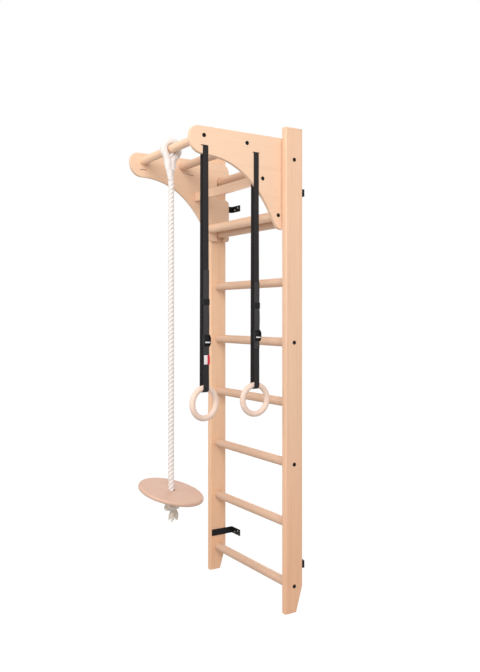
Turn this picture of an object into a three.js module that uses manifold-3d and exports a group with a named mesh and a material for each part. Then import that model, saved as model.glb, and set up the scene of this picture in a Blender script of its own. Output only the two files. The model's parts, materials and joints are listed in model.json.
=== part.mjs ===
// Swedish wall bars with a hook-on pull-up frame, two strap-hung rings and a rope swing with a disc seat.
// Millimetres, +Z up. X runs across the ladder and -Y points from the wall into the room.
// The origin is where the wall meets the floor, midway between the uprights.

import * as THREE from 'three';
import { mergeVertices } from 'three/addons/utils/BufferGeometryUtils.js';
import Module from 'manifold-3d';

// Ladder
const LADDER_HEIGHT = 2000;
const LADDER_WIDTH = 645;
const UPRIGHT_THICKNESS = 30;
const UPRIGHT_DEPTH = 84;
const UPRIGHT_ROUND = 4;
const FOOT_LENGTH = 53;
const FOOT_RISE = 104;
const WALL_GAP = 36;
const RUNG_COUNT = 8;
const RUNG_DIAMETER = 38;
const FIRST_RUNG_HEIGHT = 109;
const TOP_RUNG_DROP = 132;
const RUNG_SOCKET_DEPTH = 15;
const RUNG_END_CHAMFER = 1.5;

// Connecting bolts with a flat round head and a hexagon socket
const BOLT_HEAD_DIAMETER = 17;
const BOLT_HEAD_HEIGHT = 3.5;
const BOLT_HEAD_RECESS = 2.5;
const BOLT_SHANK_DIAMETER = 7;
const BOLT_LENGTH = 55;
const BOLT_CHAMFER = 1;
const HEX_SOCKET_WIDTH = 6;
const HEX_SOCKET_DEPTH = 2;

// Angle brackets between the uprights and the wall
const BRACKET_HEIGHT = 30;
const BRACKET_THICKNESS = 3;
const BRACKET_FRONT_MARGIN = 6;
const BRACKET_WALL_LEG = 75;
const BRACKET_BEND_RADIUS = 5;
const LOWER_BRACKET_HEIGHT = 179;
const UPPER_BRACKET_DROP = 258;
const WALL_HOLE_DIAMETER = 8.5;
const WALL_HOLE_DISTANCES = [28, 55];
const WALL_HOLE_STAGGER = 4.5;
const SCREW_HEAD_DIAMETER = 9;
const SCREW_HEAD_HEIGHT = 2.4;
const SCREW_SHANK_DIAMETER = 4.5;
const SCREW_LENGTH = 22;
const SCREW_DRIVE_DIAMETER = 3.4;
const SCREW_DRIVE_DEPTH = 1.4;
const SCREW_DISTANCES = [16, 50];

// Pull-up frame: side cheeks that hook over the two top rungs
const CHEEK_THICKNESS = 18;
const CHEEK_SIDE_GAP = 5;
const CHEEK_ROUND = 2.5;
const CHEEK_REACH = 470;
const CHEEK_BACK = 47;
const CHEEK_RISE = 91;
const BACK_TOP_RADIUS = 46;
const NOSE_DEPTH = 108;
const NOSE_TOP_RADIUS = 38;
const NOSE_BOTTOM_RADIUS = 60;
const NOSE_FLAT_END = 406;
const ARCH_FOOT_REACH = 74;
const ARCH_FOOT_RISE = 28;
const ARCH_FOOT_SLOPE = THREE.MathUtils.degToRad(64);
const ARCH_FOOT_ROUND = 22;
const HOOK_CLEARANCE = 0.4;
const LIP_DROP = 46;
const LIP_ROUND = 10;
const ENTRY_CLEARANCE = 2;
const ENTRY_ROUND = 14;
const ENTRY_BACK_ROUND = 20;
const FORK_DROP = 36;
const TINE_ROUND = 6;
const BACK_TINE_ROUND = 14;

// Cross members of the pull-up frame: distance in front of the rungs and height over the rung they hang by
const PULL_BAR_DIAMETER = 36;
const FRONT_BAR_REACH = 407;
const FRONT_BAR_RISE = 55;
const REAR_BAR_REACH = 209;
const REAR_BAR_RISE = 49.5;
const STIFFENER_REACH = 133.5;
const STIFFENER_DROP = 85;
const STIFFENER_HEIGHT = 38;
const STIFFENER_THICKNESS = 18;
const STIFFENER_ROUND = 2;
const LOWER_BAR_DIAMETER = 39;
const LOWER_BAR_REACH = 56;
const LOWER_BAR_RISE = 22.5;
const BAR_END_CHAMFER = 1;

// Ring straps, one in front of the other on the right cheek
const STRAP_WIDTH = 24;
const STRAP_THICKNESS = 1.8;
const STRAP_SLOT_LENGTH = 33;
const STRAP_SLOT_HEIGHT = 4;
const STRAP_SLOT_RISE = 16;
const STRAP_BEND_RISE = 14;
const STRAP_BEND_MARGIN = 1;
const RING_DIAMETER = 140;
const RING_SECTION = 23;
const RING_HEIGHT = 886;
const FRONT_SLOT_REACH = 405;
const FRONT_STRAP_SHIFT = 4;
const FRONT_BUCKLE_HEIGHT = 1129;
const FRONT_KEEPER_RISE = 149;
const FRONT_KEEPER_HEIGHT = FRONT_BUCKLE_HEIGHT + FRONT_KEEPER_RISE;
const FRONT_TAIL_RISE = 112;
const FRONT_RING_TURN = THREE.MathUtils.degToRad(9.4);
const REAR_SLOT_REACH = 166;
const REAR_STRAP_SHIFT = 0;
const REAR_BUCKLE_HEIGHT = 1145;
const REAR_KEEPER_RISE = 121;
const REAR_KEEPER_HEIGHT = REAR_BUCKLE_HEIGHT + REAR_KEEPER_RISE;
const REAR_TAIL_RISE = 82;
const REAR_RING_TURN = 0;
const KEEPER_LENGTH = 24;
const KEEPER_WALL = 1.5;

// Cam buckle
const BUCKLE_HEIGHT = 46;
const BUCKLE_WALL = 2;
const BUCKLE_DEPTH = 12;
const BUCKLE_BAR_DIAMETER = 3.2;
const BUCKLE_BAR_INSET = 3;
const CAM_AXIS_OUT = 7;
const CAM_AXIS_DROP = 2;
const CAM_AXLE_DIAMETER = 4;
const CAM_NOSE_HALF_WIDTH = 3;
const THUMB_PLATE_LENGTH = 9;
const THUMB_PLATE_THICKNESS = 2.5;
const THUMB_PLATE_LEAN = THREE.MathUtils.degToRad(35);

// Rope swing
const ROPE_DIAMETER = 26;
const ROPE_X = 7;
const EYE_HUG_DEGREES = 40;
const EYE_CLOSE_DROP = 45;
const EYE_THROAT_DROP = 92;
const SPLICE_LENGTH = 30;
const DISC_DIAMETER = 280;
const DISC_THICKNESS = 18;
const DISC_EDGE_RADIUS = 8;
const DISC_HEIGHT = 487;
const DISC_LEAN_X = 0.2;
const DISC_LEAN_Y = 0.165;
const KNOT_DIAMETER = 66;
const KNOT_HEIGHT = 64;
const KNOT_SHOULDER_RADIUS = 19;
const TAIL_LENGTH = 44;
const TAIL_DIAMETER = 48;

// Clearances and facets
const SEAT_GAP = 0.3;
const HOLE_CLEARANCE = 0.3;
const CUT_OVERRUN = 1;
const CHORD_ERROR = 0.4;
const ROUND_SIDES = 20;
const BOLT_SIDES = 10;
const ROPE_SIDES = 12;
const ARCH_STEPS = 18;

// Places that follow from the sizes
const yBack = -WALL_GAP;
const yFront = yBack - UPRIGHT_DEPTH;
const yRung = (yFront + yBack) / 2;
const xUprightOut = LADDER_WIDTH / 2;
const xUprightIn = xUprightOut - UPRIGHT_THICKNESS;
const xCheekOut = xUprightIn - CHEEK_SIDE_GAP;
const xCheekIn = xCheekOut - CHEEK_THICKNESS;
const xCheekMid = (xCheekOut + xCheekIn) / 2;
const rungRadius = RUNG_DIAMETER / 2;
const topRungHeight = LADDER_HEIGHT - TOP_RUNG_DROP;
const rungPitch = (topRungHeight - FIRST_RUNG_HEIGHT) / (RUNG_COUNT - 1);
const secondRungHeight = topRungHeight - rungPitch;
const rungHeight = (number) => FIRST_RUNG_HEIGHT + (number - 1) * rungPitch;
const isBolted = (number) => number === RUNG_COUNT || (number % 2 === 1 && number < RUNG_COUNT - 2);
const inFrontOfRungs = (reach) => yRung - reach;
const straps = [
  {
    name: 'front',
    slotReach: FRONT_SLOT_REACH,
    reach: FRONT_SLOT_REACH - FRONT_STRAP_SHIFT,
    buckleHeight: FRONT_BUCKLE_HEIGHT,
    keeperHeight: FRONT_KEEPER_HEIGHT,
    tailRise: FRONT_TAIL_RISE,
    ringTurn: FRONT_RING_TURN,
  },
  {
    name: 'rear',
    slotReach: REAR_SLOT_REACH,
    reach: REAR_SLOT_REACH - REAR_STRAP_SHIFT,
    buckleHeight: REAR_BUCKLE_HEIGHT,
    keeperHeight: REAR_KEEPER_HEIGHT,
    tailRise: REAR_TAIL_RISE,
    ringTurn: REAR_RING_TURN,
  },
];

// Materials
const wood = (color) => new THREE.MeshStandardMaterial({ color, roughness: 0.55, metalness: 0 });
const beech = wood(0xe2c19a);
const plywood = wood(0xe6c8a2);
const discWood = wood(0xd9b394);
const ringWood = wood(0xe8cdb2);
const blackSteel = new THREE.MeshStandardMaterial({ color: 0x141414, roughness: 0.45, metalness: 0.8 });
const brightSteel = new THREE.MeshStandardMaterial({ color: 0xd8d8d8, roughness: 0.2, metalness: 1 });
const webbing = new THREE.MeshStandardMaterial({ color: 0x1d1b1c, roughness: 0.85, metalness: 0 });
const cotton = new THREE.MeshStandardMaterial({ color: 0xede4d6, roughness: 0.95, metalness: 0 });

// Booleans
const wasm = await Module();
wasm.setup();

function toSolid(geometry) {
  const bare = geometry.index ? geometry.toNonIndexed() : geometry.clone();
  bare.deleteAttribute('normal');
  bare.deleteAttribute('uv');
  const merged = mergeVertices(bare);
  const triangles = [];
  const index = merged.index.array;
  for (let i = 0; i < index.length; i += 3) {
    const [a, b, c] = index.subarray(i, i + 3);
    if (a !== b && b !== c && c !== a) triangles.push(a, b, c);
  }
  return new wasm.Manifold(new wasm.Mesh({
    numProp: 3,
    vertProperties: merged.attributes.position.array,
    triVerts: new Uint32Array(triangles),
  }));
}

function toGeometry(solid) {
  const { vertProperties, triVerts } = solid.getMesh();
  const geometry = new THREE.BufferGeometry();
  geometry.setAttribute('position', new THREE.BufferAttribute(vertProperties, 3));
  geometry.setIndex(new THREE.BufferAttribute(triVerts, 1));
  geometry.computeVertexNormals();
  return geometry;
}

function cut(body, tools) {
  return toGeometry(tools.reduce((rest, tool) => rest.subtract(toSolid(tool)), toSolid(body)));
}

function join(pieces) {
  return toGeometry(pieces.slice(1).reduce((sum, piece) => sum.add(toSolid(piece)), toSolid(pieces[0])));
}

// Shapes
function arc(cx, cy, radius, fromDegrees, toDegrees) {
  const from = THREE.MathUtils.degToRad(fromDegrees);
  const to = THREE.MathUtils.degToRad(toDegrees);
  const widestStep = 2 * Math.acos(1 - Math.min(CHORD_ERROR / radius, 0.5));
  const steps = Math.ceil(Math.abs(to - from) / widestStep);
  return new THREE.EllipseCurve(cx, cy, radius, radius, from, to, to < from).getPoints(steps);
}

const point = (x, y) => new THREE.Vector2(x, y);

// An outline drawn in (y, z) and thickened along x from xLow, with its face edges rounded over
function boardAcross(outline, thickness, xLow, round) {
  const geometry = new THREE.ExtrudeGeometry(new THREE.Shape(outline), {
    depth: thickness - 2 * round,
    bevelThickness: round,
    bevelSize: round,
    bevelOffset: -round,
    bevelSegments: 2,
  });
  const diagonal = new THREE.Vector3(1, 1, 1).normalize();
  const turn = new THREE.Quaternion().setFromAxisAngle(diagonal, 2 * Math.PI / 3);
  return geometry.translate(0, 0, round).applyQuaternion(turn).translate(xLow, 0, 0);
}

// An outline drawn in (x, z) and thickened along y, centred on y = 0
function stripAlongY(outline, width, holes = []) {
  const shape = new THREE.Shape(outline);
  shape.holes = holes.map((hole) => new THREE.Path(hole));
  const geometry = new THREE.ExtrudeGeometry(shape, { depth: width, bevelEnabled: false });
  return geometry.rotateX(Math.PI / 2).translate(0, width / 2, 0);
}

function rectangle(xLow, zLow, xHigh, zHigh) {
  return [point(xLow, zLow), point(xHigh, zLow), point(xHigh, zHigh), point(xLow, zHigh)];
}

// A turned piece along x: profile points are (radius, x)
function turnedAlongX(profile, sides) {
  return new THREE.LatheGeometry(profile, sides).rotateZ(-Math.PI / 2);
}

function rodAlongX(diameter, xLow, xHigh, sides = ROUND_SIDES) {
  const rod = new THREE.CylinderGeometry(diameter / 2, diameter / 2, xHigh - xLow, sides);
  return rod.rotateZ(-Math.PI / 2).translate((xLow + xHigh) / 2, 0, 0);
}

function rodAlongY(diameter, length, sides = ROUND_SIDES) {
  return new THREE.CylinderGeometry(diameter / 2, diameter / 2, length, sides);
}

function block(size, centre) {
  return new THREE.BoxGeometry(...size).translate(...centre);
}

function piece(name, geometry, material, parent) {
  const mesh = new THREE.Mesh(geometry, material);
  mesh.name = name;
  parent.add(mesh);
  return mesh;
}

function group(parent) {
  const child = new THREE.Group();
  parent.add(child);
  return child;
}

// Bolts: the head's underside is at x = 0 and the shank points to -x
function boltGeometry() {
  const head = BOLT_HEAD_DIAMETER / 2;
  const shank = BOLT_SHANK_DIAMETER / 2;
  const profile = [
    point(0, -BOLT_LENGTH),
    point(shank - BOLT_CHAMFER, -BOLT_LENGTH),
    point(shank, -BOLT_LENGTH + BOLT_CHAMFER),
    point(shank, 0),
    point(head, 0),
    point(head, BOLT_HEAD_HEIGHT - BOLT_CHAMFER),
    point(head - BOLT_CHAMFER, BOLT_HEAD_HEIGHT),
    point(0, BOLT_HEAD_HEIGHT),
  ];
  const hexagonAcrossCorners = HEX_SOCKET_WIDTH / Math.cos(Math.PI / 6);
  const socketFloor = BOLT_HEAD_HEIGHT - HEX_SOCKET_DEPTH;
  const socket = rodAlongX(hexagonAcrossCorners, socketFloor, BOLT_HEAD_HEIGHT + CUT_OVERRUN, 6);
  return cut(turnedAlongX(profile, BOLT_SIDES), [socket]);
}

const boltSeatDepth = BOLT_HEAD_RECESS - SEAT_GAP;
const boltHoleDiameter = BOLT_SHANK_DIAMETER + 2 * HOLE_CLEARANCE;
const boltReach = BOLT_LENGTH + boltSeatDepth + SEAT_GAP;

// The recess and the hole of a bolt through a board that spans xLow to xHigh, with its head on the given side
function boltHole(xLow, xHigh, side, y, z) {
  const face = side > 0 ? xHigh : xLow;
  const recess = [face - side * BOLT_HEAD_RECESS, face + side * CUT_OVERRUN].sort((a, b) => a - b);
  return [
    rodAlongX(BOLT_HEAD_DIAMETER + 2 * HOLE_CLEARANCE, ...recess, BOLT_SIDES).translate(0, y, z),
    rodAlongX(boltHoleDiameter, xLow - CUT_OVERRUN, xHigh + CUT_OVERRUN, BOLT_SIDES).translate(0, y, z),
  ];
}

function addBolt(name, face, side, y, z, parent) {
  const bolt = piece(name, boltGeometry(), blackSteel, parent);
  bolt.rotation.z = side > 0 ? 0 : Math.PI;
  bolt.position.set(side * (face - boltSeatDepth), y, z);
}

// Round bar along x with a pilot bore in each end for a bolt that reaches boreDepth into it
function barGeometry(diameter, length, chamfer, boreDepth) {
  const radius = diameter / 2;
  const half = length / 2;
  const bore = boltHoleDiameter / 2;
  const end = boreDepth > 0
    ? [point(0, boreDepth - half), point(bore, boreDepth - half), point(bore, -half)]
    : [point(0, -half)];
  const lowHalf = [...end, point(radius - chamfer, -half), point(radius, chamfer - half)];
  const highHalf = lowHalf.map((p) => point(p.x, -p.y)).reverse();
  return turnedAlongX([...lowHalf, ...highHalf], ROUND_SIDES);
}

// Countersunk screw: the head's top is at x = 0 and the tip points to +x
function screwProfile(grow) {
  const head = SCREW_HEAD_DIAMETER / 2 + grow;
  const shank = SCREW_SHANK_DIAMETER / 2 + grow;
  return [
    point(head, 0),
    point(shank, SCREW_HEAD_HEIGHT + grow),
    point(shank, SCREW_LENGTH),
    point(0, SCREW_LENGTH + grow),
  ];
}

function screwGeometry() {
  const drive = SCREW_DRIVE_DIAMETER / 2;
  const recess = [point(0, SCREW_DRIVE_DEPTH), point(drive, SCREW_DRIVE_DEPTH), point(drive, 0)];
  const profile = [...recess, ...screwProfile(0)];
  return turnedAlongX(profile, BOLT_SIDES);
}

function screwHole() {
  const [head, ...rest] = screwProfile(HOLE_CLEARANCE);
  const profile = [point(0, -CUT_OVERRUN), point(head.x, -CUT_OVERRUN), head, ...rest];
  return turnedAlongX(profile, BOLT_SIDES);
}

const bracketFace = xUprightIn - SEAT_GAP - BRACKET_THICKNESS;
const bracketFrontEnd = yFront + BRACKET_FRONT_MARGIN;
const bracketHeights = { lower: LOWER_BRACKET_HEIGHT, upper: LADDER_HEIGHT - UPPER_BRACKET_DROP };
const sides = { left: -1, right: 1 };

// Screw positions on the inner face of the upright on the given side, one per bracket hole
function screwPlaces(side, z) {
  const x = side * bracketFace;
  return SCREW_DISTANCES.map((distance) => new THREE.Vector3(x, bracketFrontEnd + distance, z));
}

function placedScrew(geometry, side, place) {
  const turned = side > 0 ? geometry : geometry.rotateZ(Math.PI);
  return turned.translate(place.x, place.y, place.z);
}

// Uprights: a plank with its foot cut back at the wall side, rung sockets, bolt holes and screw holes
function uprightGeometry(side) {
  const outline = [
    point(yFront, 0),
    point(yFront + FOOT_LENGTH, 0),
    point(yBack, FOOT_RISE),
    point(yBack, LADDER_HEIGHT),
    point(yFront, LADDER_HEIGHT),
  ];
  const xLow = side > 0 ? xUprightIn : -xUprightOut;
  const xHigh = xLow + UPRIGHT_THICKNESS;
  const socketEnds = [xUprightIn - CUT_OVERRUN, xUprightIn + RUNG_SOCKET_DEPTH];
  const socket = socketEnds.map((x) => side * x).sort((a, b) => a - b);
  const tools = [];
  for (let number = 1; number <= RUNG_COUNT; number += 1) {
    const z = rungHeight(number);
    tools.push(rodAlongX(RUNG_DIAMETER + 2 * SEAT_GAP, ...socket).translate(0, yRung, z));
    if (isBolted(number)) tools.push(...boltHole(xLow, xHigh, side, yRung, z));
  }
  for (const z of Object.values(bracketHeights)) {
    for (const place of screwPlaces(side, z)) tools.push(placedScrew(screwHole(), side, place));
  }
  return cut(boardAcross(outline, UPRIGHT_THICKNESS, xLow, UPRIGHT_ROUND), tools);
}

// Angle bracket: an arm along the upright's inner face and a leg turned inwards along the wall
function bracketGeometry(side) {
  const outer = xUprightIn - SEAT_GAP;
  const bend = BRACKET_BEND_RADIUS;
  const inner = bend - BRACKET_THICKNESS;
  const outline = [
    point(outer - BRACKET_WALL_LEG, -BRACKET_THICKNESS),
    ...arc(outer - bend, -bend, inner, 90, 0),
    point(bracketFace, bracketFrontEnd),
    point(outer, bracketFrontEnd),
    ...arc(outer - bend, -bend, bend, 0, 90),
    point(outer - BRACKET_WALL_LEG, 0),
  ];
  const shape = new THREE.Shape(outline);
  const strip = new THREE.ExtrudeGeometry(shape, { depth: BRACKET_HEIGHT, bevelEnabled: false });
  strip.translate(0, 0, -BRACKET_HEIGHT / 2);
  const wallHoles = WALL_HOLE_DISTANCES.map((distance, index) => {
    const hole = rodAlongY(WALL_HOLE_DIAMETER, 4 * BRACKET_THICKNESS, BOLT_SIDES);
    return hole.translate(outer - distance, 0, index === 0 ? -WALL_HOLE_STAGGER : WALL_HOLE_STAGGER);
  });
  const screwHoles = screwPlaces(1, 0).map((place) => placedScrew(screwHole(), 1, place));
  const bracket = cut(strip, [...wallHoles, ...screwHoles]);
  return side > 0 ? bracket : toGeometry(toSolid(bracket).mirror([1, 0, 0]));
}

function addLadder(parent) {
  const ladder = group(parent);
  const rungLength = 2 * (xUprightIn + RUNG_SOCKET_DEPTH - SEAT_GAP);
  const boreDepth = boltReach - UPRIGHT_THICKNESS + RUNG_SOCKET_DEPTH;
  for (const [name, side] of Object.entries(sides)) {
    piece(`${name}_upright`, uprightGeometry(side), beech, ladder);
  }
  for (let number = 1; number <= RUNG_COUNT; number += 1) {
    const bolted = isBolted(number);
    const rung = barGeometry(RUNG_DIAMETER, rungLength, RUNG_END_CHAMFER, bolted ? boreDepth : 0);
    piece(`rung_${number}`, rung, beech, ladder).position.set(0, yRung, rungHeight(number));
    for (const [name, side] of Object.entries(sides)) {
      if (bolted) addBolt(`rung_${number}_${name}_bolt`, xUprightOut, side, yRung, rungHeight(number), ladder);
    }
  }
  for (const [level, z] of Object.entries(bracketHeights)) {
    for (const [name, side] of Object.entries(sides)) {
      piece(`${level}_${name}_wall_bracket`, bracketGeometry(side), blackSteel, ladder).position.z = z;
      screwPlaces(side, z).forEach((place, index) => {
        const screw = placedScrew(screwGeometry(), side, place);
        piece(`${level}_${name}_bracket_screw_${index + 1}`, screw, blackSteel, ladder);
      });
    }
  }
}

// Cheek outline in (y, z)
const hookRadius = rungRadius + HOOK_CLEARANCE;
const yCheekBack = yRung + CHEEK_BACK;
const yNose = inFrontOfRungs(CHEEK_REACH);
const cheekTop = topRungHeight + CHEEK_RISE;
const noseBottom = cheekTop - NOSE_DEPTH;
const lipBottom = topRungHeight - LIP_DROP;
const entryBottom = lipBottom - RUNG_DIAMETER - ENTRY_CLEARANCE;
const forkBottom = secondRungHeight - FORK_DROP;
const archFootHeight = forkBottom + ARCH_FOOT_RISE;
const archCorner = ARCH_FOOT_REACH + (noseBottom - archFootHeight) / Math.tan(ARCH_FOOT_SLOPE);
const tineCorner = ARCH_FOOT_REACH - ARCH_FOOT_RISE / Math.tan(ARCH_FOOT_SLOPE);

const archCurve = new THREE.QuadraticBezierCurve(
  point(inFrontOfRungs(NOSE_FLAT_END), noseBottom),
  point(inFrontOfRungs(archCorner), noseBottom),
  point(inFrontOfRungs(ARCH_FOOT_REACH), archFootHeight),
);

const tineCurve = new THREE.QuadraticBezierCurve(
  point(inFrontOfRungs(ARCH_FOOT_REACH), archFootHeight),
  point(inFrontOfRungs(tineCorner), forkBottom),
  point(inFrontOfRungs(tineCorner - ARCH_FOOT_ROUND), forkBottom),
);

function cheekOutline() {
  const slotFront = yRung - hookRadius;
  const slotBack = yRung + hookRadius;
  const nose = [
    ...arc(yNose + NOSE_TOP_RADIUS, cheekTop - NOSE_TOP_RADIUS, NOSE_TOP_RADIUS, 90, 180),
    ...arc(yNose + NOSE_BOTTOM_RADIUS, noseBottom + NOSE_BOTTOM_RADIUS, NOSE_BOTTOM_RADIUS, 180, 270),
  ];
  const arch = [...archCurve.getPoints(ARCH_STEPS), ...tineCurve.getPoints(ARCH_STEPS / 3).slice(1)];
  const fork = [
    ...arc(slotFront - TINE_ROUND, forkBottom + TINE_ROUND, TINE_ROUND, 270, 360),
    ...arc(yRung, secondRungHeight, hookRadius, 180, 0),
    ...arc(slotBack + TINE_ROUND, forkBottom + TINE_ROUND, TINE_ROUND, 180, 270),
    ...arc(yCheekBack - BACK_TINE_ROUND, forkBottom + BACK_TINE_ROUND, BACK_TINE_ROUND, 270, 360),
  ];
  const entry = [
    ...arc(yCheekBack - ENTRY_BACK_ROUND, entryBottom - ENTRY_BACK_ROUND, ENTRY_BACK_ROUND, 0, 90),
    ...arc(slotFront + ENTRY_ROUND, entryBottom + ENTRY_ROUND, ENTRY_ROUND, 270, 180),
  ];
  const hook = [
    ...arc(yRung, topRungHeight, hookRadius, 180, 0),
    ...arc(slotBack + LIP_ROUND, lipBottom + LIP_ROUND, LIP_ROUND, 180, 270),
    ...arc(yCheekBack - LIP_ROUND, lipBottom + LIP_ROUND, LIP_ROUND, 270, 360),
    ...arc(yCheekBack - BACK_TOP_RADIUS, cheekTop - BACK_TOP_RADIUS, BACK_TOP_RADIUS, 0, 90),
  ];
  return [...nose, ...arch, ...fork, ...entry, ...hook];
}

const crossMembers = [
  { name: 'front_pull_up_bar', y: inFrontOfRungs(FRONT_BAR_REACH), z: topRungHeight + FRONT_BAR_RISE },
  { name: 'rear_grip_bar', y: inFrontOfRungs(REAR_BAR_REACH), z: topRungHeight + REAR_BAR_RISE },
  { name: 'stiffener_board', y: inFrontOfRungs(STIFFENER_REACH), z: topRungHeight - STIFFENER_DROP },
  { name: 'lower_cross_bar', y: inFrontOfRungs(LOWER_BAR_REACH), z: secondRungHeight + LOWER_BAR_RISE },
];
const crossLength = 2 * (xCheekIn - SEAT_GAP);
const crossBoreDepth = boltReach - CHEEK_THICKNESS;
const slotHeight = topRungHeight + STRAP_SLOT_RISE;

function cheekGeometry(side) {
  const xLow = side > 0 ? xCheekIn : -xCheekOut;
  const xHigh = xLow + CHEEK_THICKNESS;
  const tools = crossMembers.flatMap(({ y, z }) => boltHole(xLow, xHigh, side, y, z));
  for (const { slotReach } of straps) {
    const size = [CHEEK_THICKNESS + 2 * CUT_OVERRUN, STRAP_SLOT_LENGTH, STRAP_SLOT_HEIGHT];
    tools.push(block(size, [side * xCheekMid, inFrontOfRungs(slotReach), slotHeight]));
  }
  return cut(boardAcross(cheekOutline(), CHEEK_THICKNESS, xLow, CHEEK_ROUND), tools);
}

function stiffenerGeometry() {
  const outline = rectangle(
    -STIFFENER_THICKNESS / 2, -STIFFENER_HEIGHT / 2, STIFFENER_THICKNESS / 2, STIFFENER_HEIGHT / 2);
  const end = crossLength / 2;
  const bores = [[-end - CUT_OVERRUN, crossBoreDepth - end], [end - crossBoreDepth, end + CUT_OVERRUN]];
  const board = boardAcross(outline, crossLength, -end, STIFFENER_ROUND);
  return cut(board, bores.map(([low, high]) => rodAlongX(boltHoleDiameter, low, high, BOLT_SIDES)));
}

function addPullUpFrame(parent) {
  const frame = group(parent);
  const bar = (diameter) => barGeometry(diameter, crossLength, BAR_END_CHAMFER, crossBoreDepth);
  const geometries = {
    front_pull_up_bar: bar(PULL_BAR_DIAMETER),
    rear_grip_bar: bar(PULL_BAR_DIAMETER),
    stiffener_board: stiffenerGeometry(),
    lower_cross_bar: bar(LOWER_BAR_DIAMETER),
  };
  for (const [name, side] of Object.entries(sides)) {
    piece(`${name}_cheek`, cheekGeometry(side), plywood, frame);
  }
  for (const { name, y, z } of crossMembers) {
    piece(name, geometries[name], beech, frame).position.set(0, y, z);
    for (const [sideName, side] of Object.entries(sides)) {
      addBolt(`${name}_${sideName}_bolt`, xCheekOut, side, y, z, frame);
    }
  }
}

// Straps, drawn round x = 0 at the cheek's middle
const strapInside = CHEEK_THICKNESS / 2 + SEAT_GAP;
const strapOutside = strapInside + STRAP_THICKNESS;
const ringSectionRadius = RING_SECTION / 2;
const ringCentreRadius = RING_DIAMETER / 2 - ringSectionRadius;
const ringTop = RING_HEIGHT + ringCentreRadius;
const ringHoleRadius = ringCentreRadius - ringSectionRadius;
const ringSag = ringHoleRadius - Math.sqrt(ringHoleRadius ** 2 - (STRAP_WIDTH / 2) ** 2);
const bendRadius = Math.hypot(CHEEK_THICKNESS / 2, STRAP_BEND_RISE) + STRAP_BEND_MARGIN;

// Inner half width of the loop that a ring hangs in, with room for a ring turned about the vertical
function loopInside({ ringTurn }) {
  const askew = Math.abs(Math.sin(ringTurn)) * STRAP_WIDTH / 2;
  return ringSectionRadius + Math.hypot(ringSag, askew) + SEAT_GAP + CHORD_ERROR;
}

// Lowest height of the cheek's underside over a strap's width
function undersideHeight(reach) {
  const y = inFrontOfRungs(reach - STRAP_WIDTH / 2);
  const low = archCurve.v0.x - 2 * archCurve.v1.x + archCurve.v2.x;
  const slope = 2 * (archCurve.v1.x - archCurve.v0.x);
  const start = archCurve.v0.x - y;
  const along = 2 * start / (-slope - Math.sqrt(slope ** 2 - 4 * low * start));
  return archCurve.getPoint(THREE.MathUtils.clamp(along, 0, 1)).y;
}

const bendHeight = (reach) => undersideHeight(reach) + STRAP_BEND_RISE;
const onBend = (x, height, radius) => height - Math.sqrt(radius ** 2 - x ** 2);

// Upper loop: through the slot and down both faces of the cheek to the bend under it
function strapTopGeometry(reach) {
  const bend = bendHeight(reach);
  const seat = slotHeight - STRAP_SLOT_HEIGHT / 2 + SEAT_GAP;
  const half = [
    point(strapInside, seat),
    point(strapInside, onBend(strapInside, bend, bendRadius)),
    point(strapOutside, onBend(strapOutside, bend, bendRadius)),
    point(strapOutside, seat),
    ...arc(strapInside, seat, STRAP_THICKNESS, 0, 90).slice(1),
  ];
  const mirrored = half.map((p) => point(-p.x, p.y)).reverse();
  return stripAlongY([...half, ...mirrored], STRAP_WIDTH);
}

// Distance of a leg's outer face from the cheek's middle at a height
function legOutside(strap, z) {
  const share = (z - ringTop) / (bendHeight(strap.reach) - ringTop);
  return THREE.MathUtils.lerp(loopInside(strap) + STRAP_THICKNESS, strapOutside, share);
}

// Hanging part: outer leg, loop under the ring's top, inner leg, and the free tail doubled over the outer leg
function strapLegsGeometry(strap) {
  const { reach, buckleHeight, keeperHeight, tailRise } = strap;
  const bend = bendHeight(reach);
  const inside = loopInside(strap);
  const radius = bendRadius + SEAT_GAP;
  const tailLow = buckleHeight + BUCKLE_HEIGHT / 2;
  const tailHigh = keeperHeight + KEEPER_LENGTH / 2 + tailRise;
  const tailFace = (z, layers) => point(legOutside(strap, z) + layers * STRAP_THICKNESS, z);
  const outline = [
    point(strapOutside, onBend(strapOutside, bend, radius)),
    tailFace(tailHigh, 0),
    tailFace(tailHigh, 1),
    tailFace(tailLow, 1),
    tailFace(tailLow, 0),
    ...arc(0, ringTop, inside + STRAP_THICKNESS, 0, -180),
    point(-strapOutside, onBend(strapOutside, bend, radius)),
    point(-strapInside, onBend(strapInside, bend, radius)),
    ...arc(0, ringTop, inside, -180, 0),
    point(strapInside, onBend(strapInside, bend, radius)),
  ];
  return stripAlongY(outline, STRAP_WIDTH);
}

// Keeper: a flat band round the outer leg and the tail
function keeperGeometry() {
  const inner = [STRAP_THICKNESS + SEAT_GAP, STRAP_WIDTH / 2 + SEAT_GAP];
  const outer = inner.map((half) => half + KEEPER_WALL);
  const shape = new THREE.Shape(rectangle(-outer[0], -outer[1], outer[0], outer[1]));
  shape.holes = [new THREE.Path(rectangle(-inner[0], -inner[1], inner[0], inner[1]))];
  const band = new THREE.ExtrudeGeometry(shape, { depth: KEEPER_LENGTH, bevelEnabled: false });
  return band.translate(0, 0, -KEEPER_LENGTH / 2);
}

// Cam buckle, drawn with the strap's outer face at x = 0: a channel with two end bars and a cam on an axle
const buckleInnerHalf = STRAP_WIDTH / 2 + SEAT_GAP;
const buckleOuterHalf = buckleInnerHalf + BUCKLE_WALL;
const buckleBase = -STRAP_THICKNESS - SEAT_GAP;

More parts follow.
